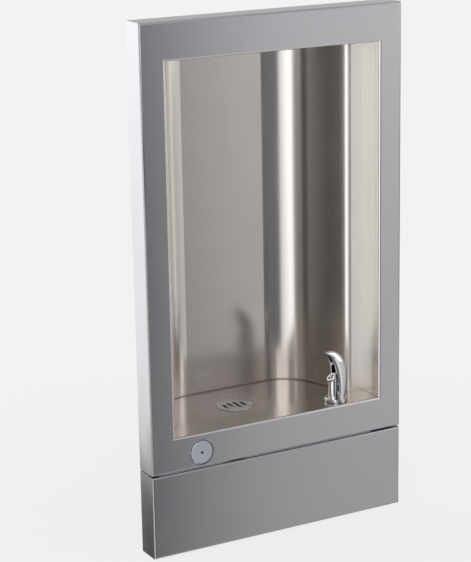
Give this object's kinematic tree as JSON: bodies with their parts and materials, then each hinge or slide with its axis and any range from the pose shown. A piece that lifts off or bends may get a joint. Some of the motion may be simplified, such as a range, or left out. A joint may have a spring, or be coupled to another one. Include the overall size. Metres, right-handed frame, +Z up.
{
  "type": "recessed drinking fountain",
  "caption": "Wall-recessed drinking fountain with a steel front, a curved alcove, a hooded bubbler, a push button, a floor waste and an access panel.",
  "frame": {"origin": "centre of the four wall screws, on the plane of the wall's face", "axes": "+Y into the wall, along the wall screws; +Z up; +X to the right as seen from the front"},
  "size_m": [0.43, 0.1733, 0.7892],
  "materials": {
    "front_steel": "fine satin brushed",
    "access_steel": "fine satin brushed",
    "lining_steel": "satin",
    "alcove_steel": "satin, grain running up",
    "floor_steel": "satin",
    "ceiling_steel": "satin",
    "bracket_steel": "galvanised",
    "screw_steel": "bright",
    "nut_steel": "zinc plated",
    "bubbler_chrome": "polished chrome",
    "nozzle_chrome": "satin chrome",
    "gasket_rubber": "matt",
    "brass": "turned",
    "tube_copper": "drawn copper",
    "button_metal": "satin, light bluish grey",
    "bezel_chrome": "polished",
    "spring_steel": "bright wire",
    "screen_steel": "perforated",
    "waste_steel": "polished rim",
    "fibre": "pressed fibre",
    "tail_chrome": "chrome plated"
  },
  "bodies": {
    "fountain": {"front_panel": "front_steel", "recess_lining": "lining_steel", "alcove_wall": "alcove_steel", "alcove_floor": "floor_steel", "alcove_ceiling": "ceiling_steel", "left_bracket": "bracket_steel", "right_bracket": "bracket_steel", "top_bracket": "bracket_steel", "front_panel_screws": "screw_steel", "front_panel_nuts": "nut_steel", "bubbler_body": "bubbler_chrome", "bubbler_hood": "bubbler_chrome", "bubbler_nozzle": "nozzle_chrome", "bubbler_gasket": "gasket_rubber", "bubbler_washer": "nut_steel", "bubbler_locknut": "brass", "bubbler_tube_nut": "brass", "supply_tube": "tube_copper", "valve_tube_nut": "brass", "button_bezel": "bezel_chrome", "bezel_nut": "nut_steel", "valve_spring": "spring_steel", "valve_bonnet": "brass", "valve_bracket": "bracket_steel", "valve_body": "brass", "inlet_fitting": "brass", "inlet_screen": "screen_steel", "waste_body": "waste_steel", "waste_strainer": "waste_steel", "waste_gasket": "gasket_rubber", "waste_washer": "fibre", "waste_locknut": "brass", "tailpiece": "tail_chrome", "tailpiece_washer": "gasket_rubber", "tailpiece_nut": "tail_chrome"},
    "button": {"push_button": "button_metal", "valve_stem": "brass", "stem_seal": "gasket_rubber"},
    "flow_screw": {"flow_screw": "brass"},
    "access_panel": {"access_panel": "access_steel", "access_panel_screws": "screw_steel", "access_panel_nuts": "nut_steel"}
  },
  "joints": [
    {"name": "button_press", "type": "slide", "parent": "fountain", "child": "button", "axis": [0, 1, 0], "range_m": [0, 0.004], "stiffness_N_per_m": 1500, "deforming": ["valve_spring"]},
    {"name": "flow_screw_turn", "type": "hinge", "parent": "button", "child": "flow_screw", "pos_m": [-0.1334, -0.0344, -0.2411], "axis": [0, 1, 0], "range_deg": [-270, 270]},
    {"name": "access_panel_lift_off", "type": "slide", "parent": "fountain", "child": "access_panel", "axis": [0, -1, 0], "range_m": [0, 0.15]}
  ]
}
